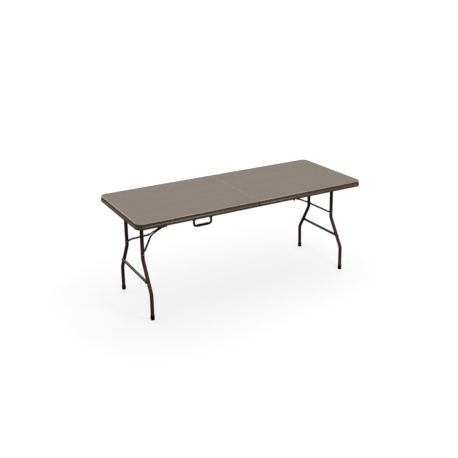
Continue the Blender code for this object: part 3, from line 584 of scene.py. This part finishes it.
def leg_frame(side, names, turn):
    """Two bent legs, the tube they turn on, the crossbar, the feet and the welds."""
    place = (Matrix.Rotation(turn, 4, "Z") @ Matrix.Translation(LEG_PIVOT)
             @ Matrix.Rotation(-LEG_LEAN, 4, "Y"))
    body = f"{side}_leg_frame"
    along_y = Matrix.Rotation(-math.pi / 2, 4, "X")

    reach = PIVOT_TUBE_END
    stub_end = -reach - STUB_LENGTH
    profile = [(0.0, stub_end), (STUB_RADIUS - STUB_BREAK, stub_end),
               (STUB_RADIUS, stub_end + STUB_BREAK), (STUB_RADIUS, -reach - STUB_BREAK * 0.6),
               (STUB_RADIUS + STUB_BREAK * 0.8, -reach),
               (PIVOT_TUBE_RADIUS - STUB_BREAK * 1.2, -reach),
               (PIVOT_TUBE_RADIUS, -reach + STUB_BREAK * 1.6)]
    profile += [(radius, -along) for radius, along in reversed(profile)]
    piece(turned_part(profile, along_y), f"{side}_pivot_bar", BROWN_STEEL, body,
          [f"{side}_pivot_tube"], place)

    slope = Vector((0, LEG_FOOT_Y - LEG_TOP_Y, down(LOWER_BEND_HEIGHT) - down(UPPER_BEND_HEIGHT)))
    share = (down(CROSSBAR_HEIGHT) - down(UPPER_BEND_HEIGHT)) / slope.z
    leg_y = LEG_TOP_Y + slope.y * share
    bar_end = leg_y - CROSSBAR_END_GAP
    bar = bent_tube(bmesh.new(), [(CROSSBAR_OFFSET, -bar_end, down(CROSSBAR_HEIGHT)),
                                  (CROSSBAR_OFFSET, bar_end, down(CROSSBAR_HEIGHT))],
                    CROSSBAR_RADIUS, 0.0)
    piece(bar, f"{side}_cross_tube", GREY_STEEL, body, [f"{side}_crossbar"], place)

    welds = bmesh.new()
    for end in (-1, 1):
        name = names[end]
        corners = [(0, end * LEG_TOP_Y, -LEG_TOP_DROP),
                   (0, end * LEG_TOP_Y, down(UPPER_BEND_HEIGHT)),
                   (0, end * LEG_FOOT_Y, down(LOWER_BEND_HEIGHT)),
                   (0, end * LEG_FOOT_Y, down(LEG_END_HEIGHT))]
        leg = bent_tube(bmesh.new(), corners, LEG_RADIUS, BEND_RADIUS, FACETS, 12)
        piece(leg, f"{side}_{name}_leg_tube", BROWN_STEEL, body,
              [f"{side}_{name}_leg"], place)
        tilt = math.atan2(slope.y * end, -slope.z)
        bar_weld = (Matrix.Translation((CROSSBAR_OFFSET, end * (leg_y - CROSSBAR_WELD_INSET),
                                        down(CROSSBAR_HEIGHT)))
                    @ Matrix.Rotation(math.pi / 2 + tilt, 4, "X"))
        weld_bead(welds, bar_weld, CROSSBAR_WELD_RING, CROSSBAR_BEAD, CROSSBAR_WELD_RIPPLES)
        leg_weld = Matrix.Translation((0, end * LEG_TOP_Y, -LEG_WELD_DROP))
        weld_bead(welds, leg_weld, LEG_WELD_RING, LEG_BEAD, LEG_WELD_RIPPLES)
        foot_cap(side, name, end, body, place)
    piece(welds, f"{side}_frame_welds", BROWN_STEEL, body, (), place)


def foot_cap(side, name, end, body, place):
    """A ribbed rubber cap, its sole cut level with the floor."""
    bottom = down(0.0)
    top = bottom + FOOT_LENGTH
    wide = FOOT_RADIUS
    bore = FOOT_RADIUS - FOOT_WALL
    sole = [(0.0, bottom), (wide - 0.0028, bottom), (wide - 0.0010, bottom + 0.0012),
            (wide, bottom + 0.0035)]
    groove = [(wide, bottom + 0.0100), (wide - 0.0007, bottom + 0.0108),
              (wide - 0.0007, bottom + 0.0120), (wide, bottom + 0.0128)]
    collar = [(wide - 0.0002, top - 0.0060), (wide, top - 0.0052), (wide, top - 0.0012),
              (wide - 0.0006, top), (bore, top), (bore, top - FOOT_OVERLAP),
              (0.0, top - FOOT_OVERLAP)]
    bm = turned_part(sole + groove + collar, Matrix.Translation((0, end * LEG_FOOT_Y, 0)),
                     FOOT_FACETS)
    sole_verts = [vert for vert in bm.verts if vert.co.z < bottom + 0.0008]
    for vert in sole_verts:
        vert.co.z = bottom - vert.co.x * math.tan(LEG_LEAN)
    piece(bm, f"{side}_{name}_foot_cap", RUBBER, body,
          [f"{side}_{name}_foot"], place)


# ---------------------------------------------------------------- fixings

def headed_pin(node, axis, suffix="rivet"):
    """A zinc-plated rivet with a domed head at each end, as long as its solid."""
    low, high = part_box(node)
    middle = (low + high) / 2
    index = "XYZ".index(axis)
    half = (high - low)[index] / 2
    head = (high - low)[(index + 1) % 3] / 2
    shank = head * PIN_SHANK_SHARE
    thick = PIN_HEAD_THICKNESS
    dome = [(0.0, half), (head * 0.34, half - thick * 0.06), (head * 0.62, half - thick * 0.22),
            (head * 0.85, half - thick * 0.50), (head * 0.97, half - thick * 0.80),
            (head, half - thick), (shank, half - thick)]
    profile = [(radius, -height) for radius, height in dome] + dome[::-1]
    facing = {"X": Matrix.Rotation(math.pi / 2, 4, "Y"),
              "Y": Matrix.Rotation(-math.pi / 2, 4, "X"), "Z": Matrix.Identity(4)}[axis]
    bm = turned_part(profile, Matrix.Translation(middle) @ facing, SMALL_FACETS)
    piece(bm, f"{node}_{suffix}", ZINC, NODES[node]["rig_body"], [node])


def screw(node):
    """A pan-head screw with a round driving recess."""
    low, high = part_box(node)
    middle = (low + high) / 2
    head = (high.x - low.x) / 2
    rise = SCREW_HEAD_RISE
    crown = SCREW_HEAD_CROWN
    profile = [(0.0, SCREW_RECESS), (head * 0.30, SCREW_RECESS), (head * 0.34, 0.0),
               (head * 0.70, crown / 6), (head * 0.92, crown * 5 / 9), (head, crown),
               (head, rise), (head * 0.5, rise), (head * 0.5, high.z - low.z),
               (0.0, high.z - low.z)]
    bm = turned_part(profile, Matrix.Translation((middle.x, middle.y, low.z)), SMALL_FACETS)
    piece(bm, f"{node}_pan_head", ZINC, NODES[node]["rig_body"], [node])


# ---------------------------------------------------------------- carrying handle

def carrying_handle():
    """A moulded U grip: arms that hang on the two pins, and between them a bar that is
    fuller in the middle and rippled below for the fingers."""
    x, y, z = HANDLE_CENTRE
    low = z - HANDLE_LOW
    corners = [(x - HANDLE_REACH, y, z + HANDLE_TOP), (x - HANDLE_REACH, y, low),
               (x + HANDLE_REACH, y, low), (x + HANDLE_REACH, y, z + HANDLE_TOP)]
    bm = bent_tube(bmesh.new(), corners, HANDLE_BAR, HANDLE_BEND, SMALL_FACETS, 8)
    runs = [edge for edge in bm.edges
            if abs(edge.verts[0].co.x - edge.verts[1].co.x) > HANDLE_REACH / 2]
    bmesh.ops.subdivide_edges(bm, edges=runs, cuts=40, use_grid_fill=False)
    grip_end = HANDLE_REACH - GRIP_END_GAP
    for vert in bm.verts:
        off = abs(vert.co.x - x)
        vert.co.y = y + (vert.co.y - y) * HANDLE_FLATTEN
        if vert.co.z < low + HANDLE_BAR * 1.25 and off < grip_end:
            fade = min(1.0, (grip_end - off) / GRIP_END_GAP)
            fade = fade * fade * (3 - 2 * fade)
            ripple = GRIP_RIPPLE * math.cos(2 * math.pi * (vert.co.x - x) / GRIP_RIPPLE_PITCH)
            share = (vert.co.z - low) / HANDLE_BAR
            vert.co.z += (GRIP_SWELL * share + (ripple if share < 0 else 0.0)) * fade
    piece(bm, "carrying_grip", NYLON, "carrying_handle", ["carrying_handle"])
    for end in (-1, 1):
        half = EYE_HALF_LENGTH
        cheek = EYE_RADIUS - EYE_BREAK * 0.9
        eye = [(0.0, -half), (cheek, -half), (EYE_RADIUS, EYE_BREAK - half),
               (EYE_RADIUS, half - EYE_BREAK), (cheek, half), (0.0, half)]
        bm = turned_part(eye, Matrix.Translation((x + end * HANDLE_REACH, y, z))
                         @ Matrix.Rotation(math.pi / 2, 4, "Y"), SMALL_FACETS)
        side = "left" if end < 0 else "right"
        piece(bm, f"{side}_grip_eye", NYLON, "carrying_handle")


# ---------------------------------------------------------------- assembly

for side, turn in (("right", 0.0), ("left", math.pi)):
    names = {-1: "front", 1: "back"} if side == "right" else {-1: "back", 1: "front"}
    moulded_half(side, turn)
    leg_frame(side, names, turn)
    eased_part(f"{side}_lock_sleeve", "moulding", NYLON, 0.0009, 3)
    headed_pin(f"{side}_brace_pin", "Y")
    eased_part(f"{side}_brace_arm", "channel", BROWN_STEEL, 0.0005)
    eased_part(f"{side}_brace_bracket", "pressing", BROWN_STEEL, 0.0005)
    for name in ("front", "back"):
        eased_part(f"{side}_{name}_rail", "rolled", BROWN_STEEL, 0.0007)
        eased_part(f"{side}_{name}_hinge_leaf", "pressing", BROWN_STEEL, 0.0004)
        eased_part(f"{side}_{name}_brace_rod", "forged", BROWN_STEEL, 0.0005)
        headed_pin(f"{side}_{name}_leg_rivet", "Y")
        eased_part(f"{side}_{name}_knee_rivet", "peened", ZINC, 0.0004)
        for count in (1, 2):
            screw(f"{side}_{name}_rail_screw_{count}")

for name in ("front", "back"):
    headed_pin(f"{name}_hinge_pin", "Y")
for name in ("left", "right"):
    eased_part(f"{name}_handle_bracket", "pressing", BROWN_STEEL, 0.0003)
    headed_pin(f"{name}_handle_pin", "X")
carrying_handle()


# ---------------------------------------------------------------- room and camera

def studio():
    """A plain pale floor and soft white light from above, from behind and from the front.
    The floor glows only to the eye, so that it stays white and throws little light up."""
    bm = bmesh.new()
    bmesh.ops.create_grid(bm, x_segments=1, y_segments=1, size=40.0)
    mesh = bpy.data.meshes.new("studio_floor")
    bm.to_mesh(mesh)
    bm.free()
    floor = bpy.data.objects.new("studio_floor", mesh)
    bpy.context.scene.collection.objects.link(floor)
    made, tree, shader, place = surface("matt_white_floor")
    shader.inputs["Roughness"].default_value = 0.9
    shader.inputs["Specular IOR Level"].default_value = 0.0
    shader.inputs["Emission Color"].default_value = linear("#ffffff")
    seen = add(tree, "ShaderNodeLightPath").outputs["Is Camera Ray"]
    paint = add(tree, "ShaderNodeMix", {"data_type": "RGBA"}, {
        0: seen, 6: linear("#5e5e5e"), 7: linear("#8c8c8c")})
    tree.links.new(paint.outputs[2], shader.inputs["Base Color"])
    # Painted light: the floor's glow grows from 0.69 near the table to 0.95 further out, standing in
    # for lamp light that falls off with distance, so the far floor stays white while the table's
    # shadow still shows near it.
    away = add(tree, "ShaderNodeVectorMath", {"operation": "LENGTH"}, {0: place})
    painted_glow_ramp = add(tree, "ShaderNodeMapRange", inputs={
        "Value": away.outputs["Value"], "From Min": 1.2, "From Max": 4.5,
        "To Min": 0.69, "To Max": 0.95})
    glow = add(tree, "ShaderNodeMath", {"operation": "MULTIPLY"}, {0: seen, 1: painted_glow_ramp.outputs[0]})
    tree.links.new(glow.outputs[0], shader.inputs["Emission Strength"])
    mesh.materials.append(made)

    world = bpy.data.worlds.new("studio_light")
    world.use_nodes = True
    tree = world.node_tree
    sky = add(tree, "ShaderNodeTexCoord").outputs["Generated"]
    toward = add(tree, "ShaderNodeVectorMath", {"operation": "DOT_PRODUCT"},
                 {0: sky, 1: (-0.02, 0.42, 0.907)})
    strength = add(tree, "ShaderNodeMapRange", {"interpolation_type": "SMOOTHSTEP"}, {
        "Value": toward.outputs["Value"], "From Min": -0.10, "From Max": 0.85,
        "To Min": 0.02, "To Max": 1.05})
    seen = add(tree, "ShaderNodeLightPath").outputs["Is Camera Ray"]
    strength = add(tree, "ShaderNodeMix", {"data_type": "FLOAT"}, {
        0: seen, 2: strength.outputs[0], 3: 1.0})
    tree.links.new(strength.outputs[0], tree.nodes["Background"].inputs["Strength"])
    tree.nodes["Background"].inputs["Color"].default_value = linear("#ffffff")
    bpy.context.scene.world = world

    for name, at, aim, size, power in (
            ("overhead_softbox", (0.7, 1.0, 4.0), (0.2, 0, 0.4), 3.2, 57.0),
            ("back_softbox", (-1.5, 3.4, 2.6), (0, 0, 0.6), 1.2, 32.0),
            ("front_softbox", (0.6, -2.0, 2.5), (0.1, -0.37, 0.7), 0.7, 32.0)):
        lamp = bpy.data.lights.new(name, "AREA")
        lamp.size = size
        lamp.energy = power
        held = bpy.data.objects.new(name, lamp)
        held.location = at
        held.rotation_euler = (Vector(aim) - Vector(at)).to_track_quat("-Z", "Y").to_euler()
        bpy.context.scene.collection.objects.link(held)


def camera():
    """A standing viewer's camera, in front of the left end and looking down a little."""
    right = Vector((math.cos(CAMERA_YAW), -math.sin(CAMERA_YAW), 0.0))
    ahead = Vector((math.sin(CAMERA_YAW) * math.cos(CAMERA_PITCH),
                    math.cos(CAMERA_YAW) * math.cos(CAMERA_PITCH), math.sin(CAMERA_PITCH)))
    up = right.cross(ahead)
    across = right * math.cos(CAMERA_ROLL) + up * math.sin(CAMERA_ROLL)
    above = up * math.cos(CAMERA_ROLL) - right * math.sin(CAMERA_ROLL)
    lens = bpy.data.cameras.new("viewer")
    lens.sensor_width = SENSOR_WIDTH
    lens.lens = LENS_LENGTH
    made = bpy.data.objects.new("viewer", lens)
    turned = Matrix((across, above, -ahead)).transposed().to_4x4()
    made.matrix_world = Matrix.Translation(CAMERA_PLACE) @ turned
    bpy.context.scene.collection.objects.link(made)
    bpy.context.scene.camera = made


studio()
camera()
bpy.context.scene.view_settings.view_transform = "Standard"
